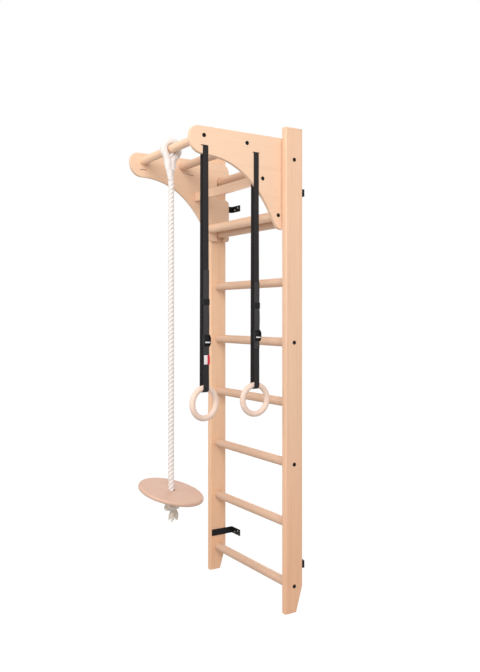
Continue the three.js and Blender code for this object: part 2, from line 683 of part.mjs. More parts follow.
function buckleFrameGeometry() {
  const half = BUCKLE_HEIGHT / 2;
  const back = buckleBase - BUCKLE_WALL;
  const base = block(
    [BUCKLE_WALL, 2 * buckleOuterHalf, BUCKLE_HEIGHT], [buckleBase - BUCKLE_WALL / 2, 0, 0]);
  const barRadius = BUCKLE_BAR_DIAMETER / 2;
  const barOut = SEAT_GAP + barRadius;
  const wallOutline = [
    point(back, -half),
    point(barOut + barRadius, -half),
    point(BUCKLE_DEPTH, -half / 2),
    point(BUCKLE_DEPTH, half / 2),
    point(barOut + barRadius, half),
    point(back, half),
  ];
  const walls = [-1, 1].map((side) => {
    const wall = stripAlongY(wallOutline, BUCKLE_WALL);
    return wall.translate(0, side * (buckleInnerHalf + BUCKLE_WALL / 2), 0);
  });
  const bars = [-1, 1].map((side) => {
    const bar = rodAlongY(BUCKLE_BAR_DIAMETER, 2 * buckleOuterHalf - BUCKLE_WALL, BOLT_SIDES);
    return bar.translate(barOut, 0, side * (half - BUCKLE_BAR_INSET));
  });
  const axleHole = rodAlongY(CAM_AXLE_DIAMETER + 2 * HOLE_CLEARANCE, 4 * buckleOuterHalf, BOLT_SIDES);
  axleHole.translate(CAM_AXIS_OUT, 0, -CAM_AXIS_DROP);
  return cut(join([base, ...walls, ...bars]), [axleHole]);
}

// Cam lever, drawn round its axle: a drum whose nose presses the strap and a leaning thumb plate
function camLeverGeometry() {
  const width = 2 * (buckleInnerHalf - SEAT_GAP);
  const drumRadius = CAM_AXLE_DIAMETER;
  const noseReach = CAM_AXIS_OUT - SEAT_GAP;
  const drum = rodAlongY(2 * drumRadius, width, BOLT_SIDES);
  const nose = stripAlongY([
    point(0, -CAM_NOSE_HALF_WIDTH),
    point(0, CAM_NOSE_HALF_WIDTH),
    point(-noseReach, CAM_NOSE_HALF_WIDTH / 2),
    point(-noseReach, 0),
  ], width);
  const plate = block([THUMB_PLATE_THICKNESS, width, THUMB_PLATE_LENGTH], [0, 0, -THUMB_PLATE_LENGTH / 2]);
  plate.rotateY(-THUMB_PLATE_LEAN);
  const axle = rodAlongY(CAM_AXLE_DIAMETER, 2 * (buckleOuterHalf - SEAT_GAP), BOLT_SIDES);
  return join([drum, nose, plate, axle]);
}

function addRingStrap(strap, parent) {
  const { name, reach, buckleHeight, keeperHeight, ringTurn } = strap;
  const hanger = group(parent);
  hanger.position.set(xCheekMid, inFrontOfRungs(reach), 0);
  piece(`${name}_strap_top_loop`, strapTopGeometry(reach), webbing, hanger);
  piece(`${name}_strap_legs`, strapLegsGeometry(strap), webbing, hanger);
  const keeper = piece(`${name}_strap_keeper`, keeperGeometry(), webbing, hanger);
  keeper.position.set(legOutside(strap, keeperHeight), 0, keeperHeight);
  const buckle = group(hanger);
  buckle.position.set(legOutside(strap, buckleHeight), 0, buckleHeight);
  piece(`${name}_buckle_frame`, buckleFrameGeometry(), blackSteel, buckle);
  const lever = piece(`${name}_buckle_cam_lever`, camLeverGeometry(), brightSteel, buckle);
  lever.position.set(CAM_AXIS_OUT, 0, -CAM_AXIS_DROP);
  const torus = new THREE.TorusGeometry(ringCentreRadius, ringSectionRadius, 10, 32);
  const ring = piece(`${name}_ring`, torus, ringWood, hanger);
  ring.rotation.set(0, Math.PI / 2, ringTurn, 'ZYX');
  ring.position.z = RING_HEIGHT;
}

// Rope swing, drawn round x = y = 0 below the front bar
const ropeRadius = ROPE_DIAMETER / 2;
const barHeight = topRungHeight + FRONT_BAR_RISE;
const throatHeight = barHeight - EYE_THROAT_DROP;
const spliceEnd = throatHeight - SPLICE_LENGTH;
const discTilt = Math.atan(Math.hypot(DISC_LEAN_X, DISC_LEAN_Y));
const knotTop = DISC_HEIGHT - DISC_THICKNESS / 2 / Math.cos(discTilt)
  - KNOT_SHOULDER_RADIUS * Math.tan(discTilt) - SEAT_GAP;

function ropeSection() {
  return new THREE.Shape(Array.from({ length: ROPE_SIDES }, (_, index) => {
    const angle = 2 * Math.PI * index / ROPE_SIDES;
    return point(ropeRadius * Math.cos(angle), ropeRadius * Math.sin(angle));
  }));
}

function ropeAlong(points, steps) {
  const extrudePath = new THREE.CatmullRomCurve3(points, false, 'centripetal');
  return new THREE.ExtrudeGeometry(ropeSection(), { steps, extrudePath });
}

// Eye: the rope hugs the bar, closes under it and comes back into itself in a short tapered splice
function ropeEyeGeometry() {
  const wrap = PULL_BAR_DIAMETER / 2 + SEAT_GAP + ropeRadius;
  const strand = ropeRadius + SEAT_GAP / 2;
  const closeHeight = barHeight - EYE_CLOSE_DROP;
  const leg = [point(strand, throatHeight), point(strand, closeHeight)];
  const overBar = arc(0, barHeight, wrap, -EYE_HUG_DEGREES, 180 + EYE_HUG_DEGREES);
  const otherLeg = leg.map((p) => point(-p.x, p.y)).reverse();
  const route = [...leg, ...overBar, ...otherLeg].map((p) => new THREE.Vector3(0, p.x, p.y));
  const eye = ropeAlong(route, 36);
  const splice = new THREE.LatheGeometry([
    point(0, spliceEnd),
    point(ropeRadius, spliceEnd),
    point(1.15 * ropeRadius, spliceEnd + 0.3 * SPLICE_LENGTH),
    point(2 * ropeRadius, throatHeight - 0.1 * SPLICE_LENGTH),
    point(2 * ropeRadius, throatHeight + 0.2 * SPLICE_LENGTH),
    point(0, throatHeight + 0.5 * SPLICE_LENGTH),
  ], 2 * ROPE_SIDES);
  splice.scale(0.58, 1, 1).rotateX(Math.PI / 2);
  return join([eye, splice]);
}

function discGeometry() {
  const half = DISC_THICKNESS / 2;
  const radius = DISC_DIAMETER / 2;
  const hole = (ropeRadius + SEAT_GAP) / Math.cos(discTilt) + half * Math.tan(discTilt);
  const edge = DISC_EDGE_RADIUS;
  const profile = [
    point(hole, -half),
    ...arc(radius - edge, edge - half, edge, -90, 0),
    ...arc(radius - edge, half - edge, edge, 0, 90),
    point(hole, half),
    point(hole, -half),
  ];
  return new THREE.LatheGeometry(profile, 2 * ROUND_SIDES).rotateX(Math.PI / 2);
}

function knotGeometry() {
  const radius = KNOT_DIAMETER / 2;
  const tailTop = knotTop - KNOT_HEIGHT;
  const tailEnd = tailTop - TAIL_LENGTH;
  const body = new THREE.CatmullRomCurve3([
    new THREE.Vector3(ropeRadius, tailTop, 0),
    new THREE.Vector3(radius * 0.9, tailTop + KNOT_HEIGHT * 0.25, 0),
    new THREE.Vector3(radius, tailTop + KNOT_HEIGHT * 0.55, 0),
    new THREE.Vector3(radius * 0.92, tailTop + KNOT_HEIGHT * 0.82, 0),
    new THREE.Vector3(KNOT_SHOULDER_RADIUS, knotTop, 0),
  ]).getPoints(ROPE_SIDES);
  const profile = [
    point(0, tailEnd),
    point(TAIL_DIAMETER / 2, tailEnd),
    point(TAIL_DIAMETER / 2.4, tailEnd + TAIL_LENGTH / 2),
    ...body.map((p) => point(p.x, p.y)),
    point(0, knotTop),
  ];
  return new THREE.LatheGeometry(profile, 2 * ROPE_SIDES).rotateX(Math.PI / 2);
}

function addRopeSwing(parent) {
  const swing = group(parent);
  swing.position.set(ROPE_X, inFrontOfRungs(FRONT_BAR_REACH), 0);
  piece('rope_eye', ropeEyeGeometry(), cotton, swing);
  const top = new THREE.Vector3(0, 0, spliceEnd - SEAT_GAP);
  const bottom = new THREE.Vector3(0, 0, knotTop + SEAT_GAP);
  const steps = Math.ceil((top.z - bottom.z) / (2.5 * ROPE_DIAMETER));
  piece('rope', ropeAlong([top, bottom], steps), cotton, swing);
  const disc = piece('disc_seat', discGeometry(), discWood, swing);
  const normal = new THREE.Vector3(DISC_LEAN_X, DISC_LEAN_Y, 1).normalize();
  disc.quaternion.setFromUnitVectors(new THREE.Vector3(0, 0, 1), normal);
  disc.position.z = DISC_HEIGHT;
  piece('stopper_knot', knotGeometry(), cotton, swing);
}

const wallBars = new THREE.Group();
addLadder(wallBars);
addPullUpFrame(wallBars);
for (const strap of straps) addRingStrap(strap, wallBars);
addRopeSwing(wallBars);

export default wallBars;
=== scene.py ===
import json
import math

import bpy
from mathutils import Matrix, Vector


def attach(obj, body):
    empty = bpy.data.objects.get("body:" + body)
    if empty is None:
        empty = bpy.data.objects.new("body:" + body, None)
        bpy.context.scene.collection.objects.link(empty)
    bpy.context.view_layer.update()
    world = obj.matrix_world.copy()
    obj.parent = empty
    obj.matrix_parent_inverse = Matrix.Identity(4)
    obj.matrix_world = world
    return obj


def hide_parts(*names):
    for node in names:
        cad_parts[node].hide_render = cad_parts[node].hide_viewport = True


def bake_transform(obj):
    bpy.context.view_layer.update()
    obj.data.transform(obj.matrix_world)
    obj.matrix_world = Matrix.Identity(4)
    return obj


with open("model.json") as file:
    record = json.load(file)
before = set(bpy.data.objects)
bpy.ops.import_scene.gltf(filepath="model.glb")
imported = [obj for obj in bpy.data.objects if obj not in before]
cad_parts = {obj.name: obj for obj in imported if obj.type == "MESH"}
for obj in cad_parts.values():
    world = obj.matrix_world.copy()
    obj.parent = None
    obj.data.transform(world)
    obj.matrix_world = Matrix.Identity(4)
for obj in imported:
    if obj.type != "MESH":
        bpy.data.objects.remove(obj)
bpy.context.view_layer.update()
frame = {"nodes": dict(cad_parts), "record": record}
scene = bpy.context.scene
scene.view_settings.view_transform = "Standard"
node_body = {
    node: body
    for body, nodes in frame["record"]["behaviour"]["bodies"].items()
    for node in nodes
}

# Places shared with the part, in metres, from its joints where a joint sits there
joint_places = {
    joint["name"]: joint["pos_m"]
    for joint in frame["record"]["behaviour"]["joints"]
    if "pos_m" in joint
}
both_straps = ("front", "rear")
rope_x, rope_y, bar_height = joint_places["rope_swing"]
splice_end, knot_top = 1.801, 0.4724
rope_radius = 0.013
rope_lay = 0.055
bar_radius = 0.018
cheek_middle = joint_places["front_strap_swing"][0]
strap_places = {which: joint_places[which + "_strap_swing"][1] for which in both_straps}
strap_bends = {which: joint_places[which + "_strap_swing"][2] for which in both_straps}
ring_bend_radius, ring_section_radius = 0.0585, 0.0115
ring_top = joint_places["front_ring_tilt"][2]
ring_height = ring_top - ring_bend_radius
ring_turns = {"front": math.radians(9.4), "rear": 0.0}

# Camera at the photograph's place
camera_data = bpy.data.cameras.new("camera")
camera = bpy.data.objects.new("camera", camera_data)
scene.collection.objects.link(camera)
camera.location = (2.70998, -1.85476, 1.22673)
camera.rotation_euler = (math.radians(90), 0, math.radians(57.66))
camera_data.lens = 38.567
camera_data.shift_y = -0.0308
scene.camera = camera


# Working by hand: one piece selected at a time
def only(piece):
    if bpy.context.mode != "OBJECT":
        bpy.ops.object.mode_set(mode="OBJECT")
    bpy.ops.object.select_all(action="DESELECT")
    bpy.context.view_layer.objects.active = piece
    piece.select_set(True)


def edit(piece, everything=True):
    only(piece)
    bpy.ops.object.mode_set(mode="EDIT")
    bpy.ops.mesh.select_all(action="SELECT" if everything else "DESELECT")


def leave():
    bpy.ops.object.mode_set(mode="OBJECT")


def started(name):
    piece = bpy.context.view_layer.objects.active
    piece.name = name
    return piece


def modify(piece, kind, **settings):
    only(piece)
    modifier = piece.modifiers.new(kind.title(), kind)
    for key, value in settings.items():
        setattr(modifier, key, value)
    bpy.ops.object.modifier_apply(modifier=modifier.name)


def settle(piece):
    only(piece)
    bpy.ops.object.transform_apply(location=True, rotation=True, scale=True)


def smooth(piece, degrees=35):
    only(piece)
    bpy.ops.object.shade_smooth_by_angle(angle=math.radians(degrees))


def finish_piece(piece, material, body, slot, *nodes):
    piece.data.materials.clear()
    piece.data.materials.append(material)
    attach(piece, body)
    if nodes:
        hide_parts(*nodes)
    return piece


# A copy of a solid with its corners merged, its edges softened and its round faces shaded smooth
def softened(node, material, slot, width=0.0, segments=2, degrees=35):
    piece = bpy.data.objects.new(node + "_piece", frame["nodes"][node].data.copy())
    scene.collection.objects.link(piece)
    edit(piece)
    bpy.ops.mesh.remove_doubles(threshold=0.00002)
    bpy.ops.mesh.dissolve_limited(angle_limit=math.radians(1))
    leave()
    if width:
        modify(
            piece,
            "BEVEL",
            width=width,
            segments=segments,
            limit_method="ANGLE",
            angle_limit=math.radians(40),
            use_clamp_overlap=True,
        )
    smooth(piece, degrees)
    modify(piece, "WEIGHTED_NORMAL", keep_sharp=True)
    return finish_piece(piece, material, node_body[node], slot, node)


# Materials
def nodes_of(name):
    material = bpy.data.materials.new(name)
    material.use_nodes = True
    tree = material.node_tree
    shader = tree.nodes["Principled BSDF"]
    place = tree.nodes.new("ShaderNodeTexCoord")
    return material, tree, shader, place


def add(tree, kind, **inputs):
    node = tree.nodes.new(kind)
    for key, value in inputs.items():
        node.inputs[key.replace("_", " ")].default_value = value
    return node


def stretched(tree, place, scale, turn=(0, 0, 0), move=(0, 0, 0)):
    mapping = tree.nodes.new("ShaderNodeMapping")
    mapping.inputs["Scale"].default_value = scale
    mapping.inputs["Rotation"].default_value = turn
    mapping.inputs["Location"].default_value = move
    tree.links.new(place.outputs["Object"], mapping.inputs["Vector"])
    return mapping


def ramp(tree, source, stops):
    node = tree.nodes.new("ShaderNodeValToRGB")
    elements = node.color_ramp.elements
    elements[0].position, elements[0].color = stops[0][0], (*stops[0][1], 1)
    elements[1].position, elements[1].color = stops[-1][0], (*stops[-1][1], 1)
    for position, colour in stops[1:-1]:
        elements.new(position).color = (*colour, 1)
    tree.links.new(source, node.inputs["Fac"])
    return node.outputs["Color"]


def mixed(tree, how, share, first, second):
    node = tree.nodes.new("ShaderNodeMix")
    node.data_type = "RGBA"
    node.blend_type = how
    for socket, value in ((0, share), (6, first), (7, second)):
        if isinstance(value, bpy.types.NodeSocket):
            tree.links.new(value, node.inputs[socket])
        else:
            node.inputs[socket].default_value = value
    return node.outputs[2]


def bumped(tree, shader, height, strength, distance):
    bump = tree.nodes.new("ShaderNodeBump")
    bump.inputs["Strength"].default_value = strength
    bump.inputs["Distance"].default_value = distance
    tree.links.new(height, bump.inputs["Height"])
    tree.links.new(bump.outputs["Normal"], shader.inputs["Normal"])


# Steamed beech: long faint growth bands, short dark ray flecks, painted shade that darkens and warms it
# towards the foot, and an oiled satin face
def beech(name, along, light, dark, fleck, move=(0, 0, 0), painted_foot_shade=(1, 1, 1)):
    material, tree, shader, place = nodes_of(name)
    bands = add(tree, "ShaderNodeTexNoise", Scale=1.0, Detail=5.0, Roughness=0.55, Distortion=0.6)
    long_bands = stretched(tree, place, _along(along, 70, 2.2), move=move)
    tree.links.new(long_bands.outputs[0], bands.inputs["Vector"])
    fine = add(tree, "ShaderNodeTexNoise", Scale=1.0, Detail=3.0, Roughness=0.6)
    tree.links.new(stretched(tree, place, _along(along, 420, 9), move=move).outputs[0], fine.inputs["Vector"])
    rays = add(tree, "ShaderNodeTexVoronoi", Scale=1.0, Randomness=1.0)
    short_flecks = stretched(tree, place, _along(along, 900, 160), move=move)
    tree.links.new(short_flecks.outputs[0], rays.inputs["Vector"])
    between = tuple(0.5 * (a + b) for a, b in zip(light, dark))
    colour = ramp(tree, bands.outputs["Fac"], [(0.3, dark), (0.52, light), (0.75, between)])
    tone = ramp(tree, fine.outputs["Fac"], [(0.3, (0.95, 0.94, 0.93)), (0.7, (1.02, 1.02, 1.02))])
    colour = mixed(tree, "MULTIPLY", 0.8, colour, tone)
    flecks = ramp(tree, rays.outputs["Distance"], [(0.06, (1, 1, 1)), (0.16, (0, 0, 0))])
    colour = mixed(tree, "MIX", _scaled(tree, flecks, 0.16), colour, (*fleck, 1))
    parts = tree.nodes.new("ShaderNodeSeparateXYZ")
    tree.links.new(place.outputs["Object"], parts.inputs[0])
    # Painted shade: the colour is multiplied darker and warmer below about 0.9 m, standing in for less light
    # near the floor
    shade_towards_foot = ramp(tree, parts.outputs["Z"], [(0.15, painted_foot_shade), (0.9, (1, 1, 1))])
    colour = mixed(tree, "MULTIPLY", 1.0, colour, shade_towards_foot)
    tree.links.new(colour, shader.inputs["Base Color"])
    gloss = ramp(tree, fine.outputs["Fac"], [(0.2, (0.5, 0.5, 0.5)), (0.8, (0.6, 0.6, 0.6))])
    tree.links.new(gloss, shader.inputs["Roughness"])
    shader.inputs["Specular IOR Level"].default_value = 0.35
    bumped(tree, shader, fine.outputs["Fac"], 0.06, 0.0003)
    return material


def _along(axis, across, along):
    return tuple(along if letter == axis else across for letter in "xyz")


def _scaled(tree, socket, amount):
    node = tree.nodes.new("ShaderNodeMath")
    node.operation = "MULTIPLY"
    node.inputs[1].default_value = amount
    tree.links.new(socket, node.inputs[0])
    return node.outputs[0]


light_beech, dark_beech, ray_fleck = (0.80, 0.525, 0.355), (0.765, 0.485, 0.32), (0.62, 0.36, 0.22)
rung_cut = (3.1, 0.4, 0.9)
upright_beech = beech("upright_beech", "z", light_beech, dark_beech, ray_fleck, painted_foot_shade=(1.0, 0.9, 0.83))
# Painted light: a lighter copy of the upright beech for the left upright, standing in for light its inner
# face does not get; its painted foot shade is lighter too
left_upright_beech = beech(
    "left_upright_beech", "z", (0.86, 0.56, 0.365), (0.825, 0.52, 0.33), ray_fleck, painted_foot_shade=(1.0, 0.93, 0.88)
)
# Rung beech, also laid on the rear grip bar as painted shade; its lighter copy below is painted light on the
# front bar and stiffener
rung_beech = beech("rung_beech", "x", (0.69, 0.455, 0.318), (0.655, 0.42, 0.285), ray_fleck, rung_cut)
bar_beech = beech("bar_beech", "x", (0.86, 0.585, 0.405), (0.82, 0.545, 0.37), ray_fleck, rung_cut)
cheek_ply = beech("cheek_ply", "y", (0.82, 0.565, 0.395), (0.79, 0.53, 0.365), ray_fleck, (1.7, 2.2, 0.3))
disc_ply = beech(
    "disc_ply", "x", (0.66, 0.43, 0.323), (0.62, 0.395, 0.295), (0.50, 0.30, 0.21), (5.3, 1.1, 2.4)
)
ring_beech = beech("ring_beech", "z", (0.79, 0.60, 0.495), (0.76, 0.56, 0.455), ray_fleck, (2.6, 4.4, 1.9))


def black_paint(name):
    material, tree, shader, place = nodes_of(name)
    speckle = add(tree, "ShaderNodeTexNoise", Scale=900.0, Detail=2.0)
    tree.links.new(place.outputs["Object"], speckle.inputs["Vector"])
    black = ramp(tree, speckle.outputs["Fac"], [(0.3, (0.004, 0.004, 0.004)), (0.7, (0.009, 0.009, 0.009))])
    tree.links.new(black, shader.inputs["Base Color"])
    shader.inputs["Roughness"].default_value = 0.5
    shader.inputs["Specular IOR Level"].default_value = 0.2
    bumped(tree, shader, speckle.outputs["Fac"], 0.15, 0.0002)
    return material


def bright_metal(name):
    material, tree, shader, place = nodes_of(name)
    brushing = add(tree, "ShaderNodeTexNoise", Scale=1.0, Detail=3.0)
    tree.links.new(stretched(tree, place, (2500, 120, 2500)).outputs[0], brushing.inputs["Vector"])
    steel = ramp(tree, brushing.outputs["Fac"], [(0.3, (0.62, 0.62, 0.63)), (0.7, (0.86, 0.86, 0.87))])
    tree.links.new(steel, shader.inputs["Base Color"])
    shader.inputs["Metallic"].default_value = 1.0
    shader.inputs["Roughness"].default_value = 0.22
    return material


# Webbing: ribs across the strap's width with a fine herringbone of yarns
def black_webbing(name, dark, light):
    material, tree, shader, place = nodes_of(name)
    ribs = add(tree, "ShaderNodeTexWave", Scale=1.0, Distortion=0.4)
    ribs.wave_type = "BANDS"
    ribs.bands_direction = "Z"
    tree.links.new(stretched(tree, place, (1, 1, 180)).outputs[0], ribs.inputs["Vector"])
    yarns = add(tree, "ShaderNodeTexWave", Scale=1.0, Distortion=0.8)
    yarns.wave_type = "BANDS"
    yarns.bands_direction = "Y"
    tree.links.new(stretched(tree, place, (1, 260, 1)).outputs[0], yarns.inputs["Vector"])
    weave = mixed(tree, "MULTIPLY", 1.0, ribs.outputs["Color"], yarns.outputs["Color"])
    tree.links.new(ramp(tree, weave, [(0.0, dark), (1.0, light)]), shader.inputs["Base Color"])
    shader.inputs["Roughness"].default_value = 0.8
    shader.inputs["Specular IOR Level"].default_value = 0.3
    shader.inputs["Sheen Weight"].default_value = 0.06
    bumped(tree, shader, weave, 0.5, 0.0006)
    return material


def cotton_rope(name, pale, shade):
    material, tree, shader, place = nodes_of(name)
    yarn = add(tree, "ShaderNodeTexNoise", Scale=600.0, Detail=4.0, Roughness=0.7)
    tree.links.new(place.outputs["Object"], yarn.inputs["Vector"])
    tree.links.new(ramp(tree, yarn.outputs["Fac"], [(0.3, shade), (0.62, pale)]), shader.inputs["Base Color"])
    shader.inputs["Roughness"].default_value = 0.95
    shader.inputs["Sheen Weight"].default_value = 0.3
    bumped(tree, shader, yarn.outputs["Fac"], 0.6, 0.0008)
    return material


black_steel = black_paint("black_steel")
bright_steel = bright_metal("bright_steel")
webbing = black_webbing("webbing", (0.009, 0.0075, 0.0075), (0.030, 0.026, 0.026))
# Painted sheen: a lighter copy of the webbing for the free tails and sewn folds
tail_webbing = black_webbing("tail_webbing", (0.022, 0.020, 0.021), (0.075, 0.069, 0.071))
rope_cotton = cotton_rope("rope_cotton", (0.80, 0.74, 0.705), (0.70, 0.64, 0.60))
knot_cotton = cotton_rope("knot_cotton", (0.84, 0.77, 0.68), (0.66, 0.57, 0.47))
stitch_thread = cotton_rope("stitch_thread", (0.06, 0.058, 0.058), (0.03, 0.029, 0.029))
pale_cloth = cotton_rope("pale_cloth", (0.80, 0.74, 0.74), (0.70, 0.63, 0.63))
red_cloth = cotton_rope("red_cloth", (0.62, 0.012, 0.04), (0.50, 0.008, 0.025))
keeper_rubber = black_paint("keeper_rubber")


# A line's points spaced evenly, rounded at its corners by a smooth curve through them
def eased(points, count):
    points = [Vector(p) for p in points]
    ends = [2 * points[0] - points[1], *points, 2 * points[-1] - points[-2]]
    fine = []
    for before, start, end, after in zip(ends, ends[1:], ends[2:], ends[3:]):
        for step in range(16):
            t = step / 16
            fine.append(
                0.5
                * (
                    2 * start
                    + (end - before) * t
                    + (2 * before - 5 * start + 4 * end - after) * t**2
                    + (3 * start - before - 3 * end + after) * t**3
                )
            )
    fine.append(points[-1])
    lengths = [0.0]
    for start, end in zip(fine, fine[1:]):
        lengths.append(lengths[-1] + (end - start).length)
    spaced, at = [], 0
    for step in range(count):
        want = lengths[-1] * step / (count - 1)
        while at < len(lengths) - 2 and lengths[at + 1] < want:
            at += 1
        share = (want - lengths[at]) / max(lengths[at + 1] - lengths[at], 1e-9)
        spaced.append(fine[at].lerp(fine[at + 1], share))
    return spaced, lengths[-1]


# Lays a straight piece, made up +Z from the origin, along a line, with its width times thickness(share)
def follow(piece, line, length, thickness=lambda share: 1.0, across=Vector((1, 0, 0))):
    sides = []
    side = across
    for index in range(len(line)):
        ahead = line[min(index + 1, len(line) - 1)] - line[max(index - 1, 0)]
        side = (side - ahead.normalized() * side.dot(ahead.normalized())).normalized()
        sides.append((side, ahead.normalized().cross(side)))
    for vertex in piece.data.vertices:
        share = min(max(vertex.co.z / length, 0), 1)
        place = share * (len(line) - 1)
        index = min(int(place), len(line) - 2)
        part = place - index
        side = sides[index][0].lerp(sides[index + 1][0], part)
        up = sides[index][1].lerp(sides[index + 1][1], part)
        width = thickness(share)
        vertex.co = line[index].lerp(line[index + 1], part) + width * (side * vertex.co.x + up * vertex.co.y)
    return piece


def close_ends(piece):
    edit(piece)
    bpy.ops.mesh.remove_doubles(threshold=0.00001)
    bpy.ops.mesh.select_all(action="DESELECT")
    bpy.ops.mesh.select_non_manifold()
    bpy.ops.mesh.edge_face_add()
    bpy.ops.mesh.select_all(action="SELECT")
    bpy.ops.mesh.normals_make_consistent(inside=False)
    leave()


# Rope: three strands laid round each other, swept up a helix
def laid_rope(name, length, radius=rope_radius, lay=rope_lay, fill=0.63):
    bpy.ops.object.select_all(action="DESELECT")
    bpy.ops.mesh.primitive_circle_add(vertices=30, radius=radius, location=(0, 0, 0))
    rope = started(name)
    strand, centre = fill * radius, (1 - fill) * radius
    for vertex in rope.data.vertices:
        turn = math.atan2(vertex.co.y, vertex.co.x)
        from_strand = (turn % (2 * math.pi / 3)) - math.pi / 3
        reach = centre * math.cos(from_strand) + math.sqrt(strand**2 - (centre * math.sin(from_strand)) ** 2)
        vertex.co *= reach / vertex.co.length
    steps = max(12, round(24 * length / lay))
    modify(
        rope,
        "SCREW",
        angle=2 * math.pi * length / lay,
        screw_offset=length,
        steps=steps,
        render_steps=steps,
        axis="Z",
        use_merge_vertices=False,
        use_smooth_shade=True,
    )
    close_ends(rope)
    return rope


# One soft strand that follows a line and thins to a frayed end
def loose_strand(name, points, radius, thickness):
    line, length = eased(points, 24)
    bpy.ops.object.select_all(action="DESELECT")
    bpy.ops.mesh.primitive_cylinder_add(vertices=14, radius=radius, depth=length, location=(0, 0, length / 2))
    strand = started(name)
    settle(strand)
    edit(strand, everything=False)
    leave()
    for edge in strand.data.edges:
        low, high = (strand.data.vertices[i].co.z for i in edge.vertices)
        edge.select = abs(high - low) > 0.5 * length
    only(strand)
    bpy.ops.object.mode_set(mode="EDIT")
    bpy.ops.mesh.subdivide(number_cuts=22)
    leave()
    return follow(strand, line, length, thickness)


def joined(name, pieces):
    only(pieces[0])
    for piece in pieces[1:]:
        piece.select_set(True)
    bpy.ops.object.join()
    return started(name)


rope_top, rope_bottom = splice_end + 0.002, knot_top - 0.004
line = laid_rope("rope_line", rope_top - rope_bottom)
line.location = (rope_x, rope_y, rope_bottom)
settle(line)
finish_piece(line, rope_cotton, "rope_swing", "rope", "rope")


def at_rope(y, z, x=0.0):
    return (rope_x + x, rope_y + y, z)


# Eye: up in front of the bar, over it and down behind, fuller than the line, with its end thinned out below
def rope_eye():
    full = 1.2
    wrap = bar_radius + 0.0004 + full * rope_radius
    over = [
        at_rope(-wrap * math.cos(math.radians(turn)), bar_height + wrap * math.sin(math.radians(turn)))
        for turn in range(-42, 223, 12)
    ]
    points = [
        at_rope(-0.001, splice_end - 0.004),
        at_rope(-0.005, 1.822),
        at_rope(-0.0115, 1.845),
        at_rope(-0.0155, 1.868),
        at_rope(-0.0185, 1.884),
        *over,
        at_rope(0.0125, 1.884),
        at_rope(0.0055, 1.868),
        at_rope(0.0035, 1.845),
        at_rope(0.004, 1.826),
        at_rope(0.003, 1.806),
    ]

    def fullness(share):
        if share < 0.12:
            return 1.0 + (full - 1.0) * share / 0.12
        return full if share < 0.86 else full - 0.7 * (share - 0.86) / 0.14

    line, length = eased(points, 160)
    eye = laid_rope("rope_eye_piece", length, lay=2.4 * rope_lay, fill=0.84)
    follow(eye, line, length, fullness)
    wisps = []
    for index, (start, middle, end, radius) in enumerate((
        (at_rope(0.012, 1.880, 0.006), at_rope(0.020, 1.884, 0.013), at_rope(0.025, 1.890, 0.017), 0.0045),
        (at_rope(0.007, 1.850, 0.006), at_rope(0.015, 1.849, 0.010), at_rope(0.020, 1.845, 0.012), 0.0045),
        (at_rope(-0.004, 1.842, 0.008), at_rope(0.004, 1.838, 0.016), at_rope(0.010, 1.831, 0.018), 0.0045),
    )):
        wisp = loose_strand(f"wisp_{index}", (start, middle, end), radius, lambda share: 1.05 - 0.5 * share)
        wisps.append(wisp)
    eye = joined("rope_eye_piece", [eye, *wisps])
    smooth(eye, 60)
    finish_piece(eye, rope_cotton, "rope_swing", "rope", "rope_eye")


# Stopper knot: the line turned round itself, and a tail whose strands come apart and hang to the wall side
def stopper_knot():
    low = knot_top - 0.064
    turns = [at_rope(0, knot_top + 0.004), at_rope(0.006, knot_top - 0.012, -0.002)]
    for step in range(15):
        turn = math.radians(200 + step * 45)
        out = 0.0195 - 0.0025 * math.cos(2 * turn)
        drop = knot_top - 0.018 - 0.0026 * step + 0.008 * math.sin(turn + 0.6)
        turns.append(at_rope(0.003 + out * math.sin(turn), drop, 0.002 + out * math.cos(turn)))
    turns += [
        at_rope(0.010, low + 0.012, 0.006),
        at_rope(0.009, low + 0.002, 0.005),
        at_rope(0.011, low - 0.006, 0.006),
    ]
    line, length = eased(turns, 220)
    knot = laid_rope("knot_turns", length)
    follow(knot, line, length)
    strands = []

    def tail_fullness(share):
        return 0.95 + 0.2 * math.sin(3.2 * share) - 0.45 * share**4

    for index in range(9):
        turn = math.radians(index * 40 + 17 * (index % 2))
        out = 0.005 + 0.004 * (index % 3)
        flare = 0.016 + 0.006 * ((index * 5) % 4) / 3
        reach = low - 0.034 - 0.009 * ((index * 7) % 5) / 4
        away, across = math.sin(turn), math.cos(turn)
        end_away, end_across = math.sin(turn + 0.35), math.cos(turn + 0.35)
        path = (
            at_rope(0.010 + 0.5 * out * away, low + 0.004, 0.006 + 0.5 * out * across),
            at_rope(0.009 + 1.2 * out * away, low - 0.014, 0.005 + 1.2 * out * across),
            at_rope(0.007 + flare * end_away, reach, 0.005 + flare * end_across),
        )
        strands.append(loose_strand(f"tail_{index}", path, 0.0042, tail_fullness))
    knot = joined("knot_piece", [knot, *strands])
    smooth(knot, 60)
    finish_piece(knot, knot_cotton, "rope_swing", "rope", "stopper_knot")


rope_eye()
stopper_knot()


# Straps: one closed band through the slot in the cheek and under the top of the ring
slot_seat = 1.884 - 0.002 + 0.0003
buckle_heights = {"front": 1.129, "rear": 1.145}
keeper_heights = {"front": 1.278, "rear": 1.266}
tail_ends = {"front": 1.402, "rear": 1.360}
strap_width, strap_thickness = 0.024, 0.0018
loop_radii = {"front": 0.015604, "rear": 0.014658}
leg_reach = 0.0093 + strap_thickness / 2


# Distance of the outer leg's middle from the cheek's middle
def leg_at(which, height):
    share = (height - ring_top) / (strap_bends[which] - ring_top)
    return loop_radii[which] + (leg_reach - loop_radii[which]) * min(share, 1)


